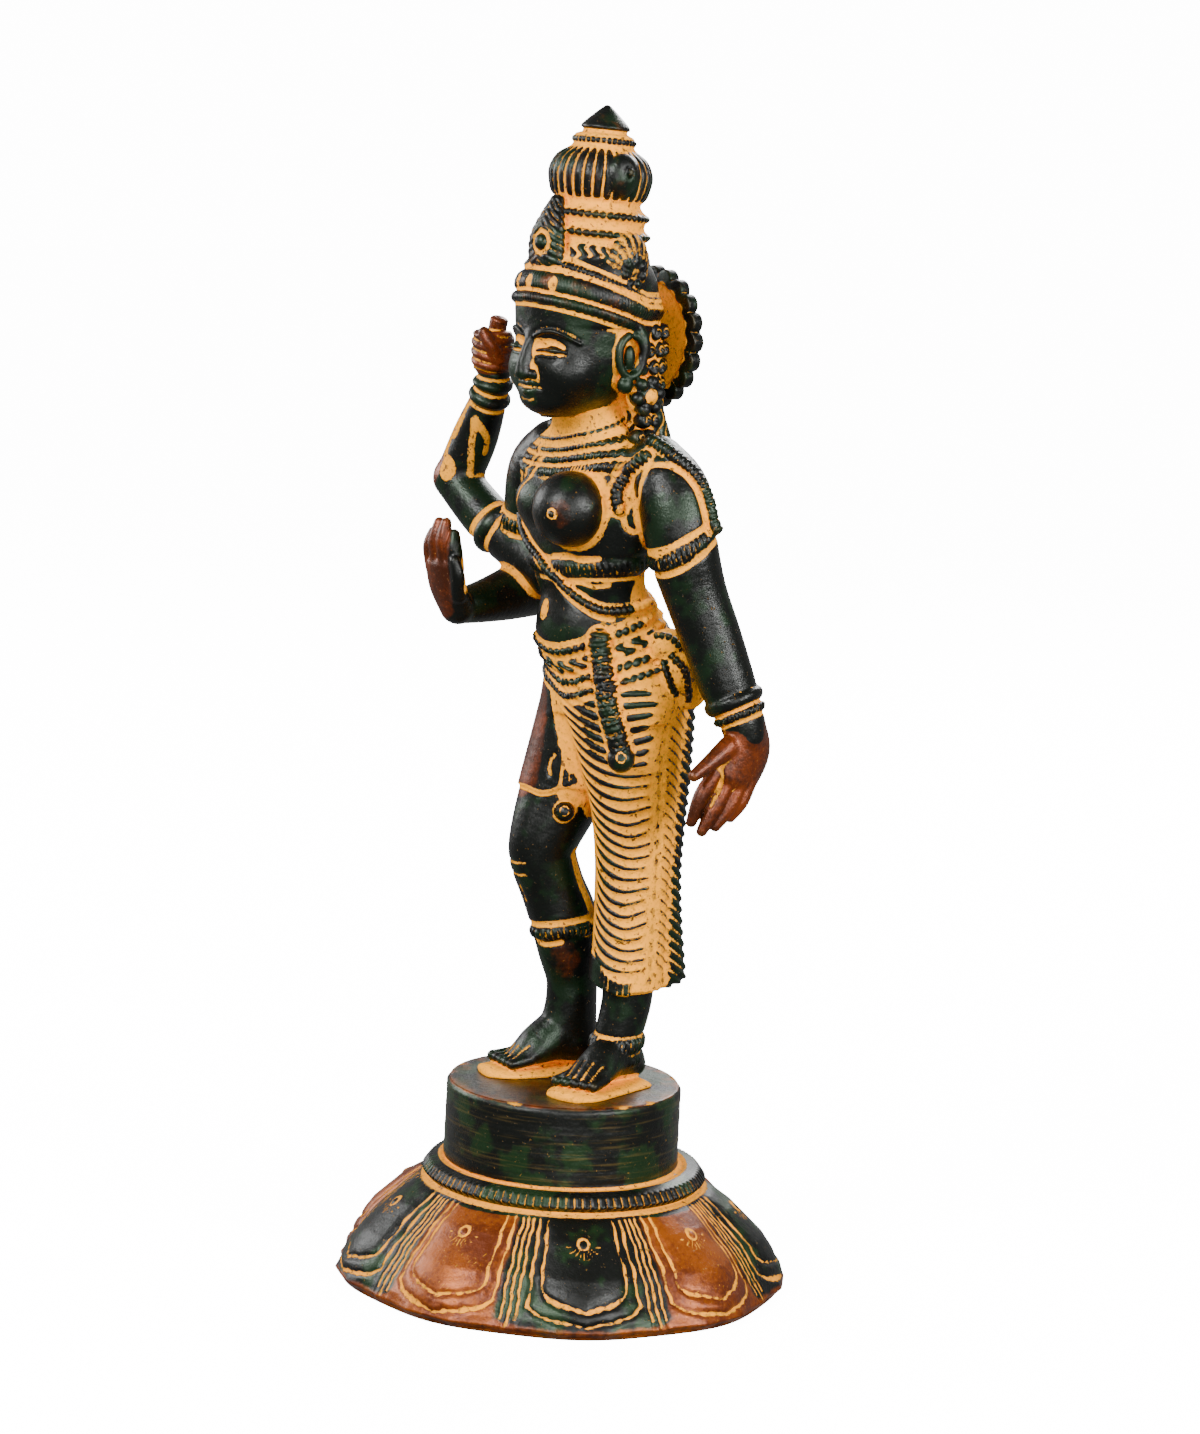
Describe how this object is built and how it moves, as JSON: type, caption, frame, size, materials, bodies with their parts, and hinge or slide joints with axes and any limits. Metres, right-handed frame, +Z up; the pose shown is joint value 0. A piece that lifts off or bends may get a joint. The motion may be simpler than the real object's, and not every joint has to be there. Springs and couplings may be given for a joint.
{
  "type": "ardhanarishvara figure",
  "caption": "Cast brass Ardhanarishvara standing on a turned drum and flared lotus base, with tall crown, halo wheel, raised right hands and a lowered left hand.",
  "frame": {"origin": "middle of the flat underside of the lotus base, on the axis of the drum", "axes": "+Z up, longest; the figure faces -Y and its own left side is +X"},
  "size_m": [0.099, 0.0968, 0.2501],
  "materials": {
    "plinth": "cast and turned brass with a green-black patina, orange-brown rubbed petals and cream pigment in the lines",
    "figure": "cast brass with a green-black patina, rubbed brown hands and cream pigment in the hollows",
    "halo": "cast brass with a dark scalloped rim and cream pigment in the sunk face"
  },
  "bodies": {
    "root": {"plinth": "plinth", "figure": "figure", "halo": "halo"}
  },
  "joints": []
}
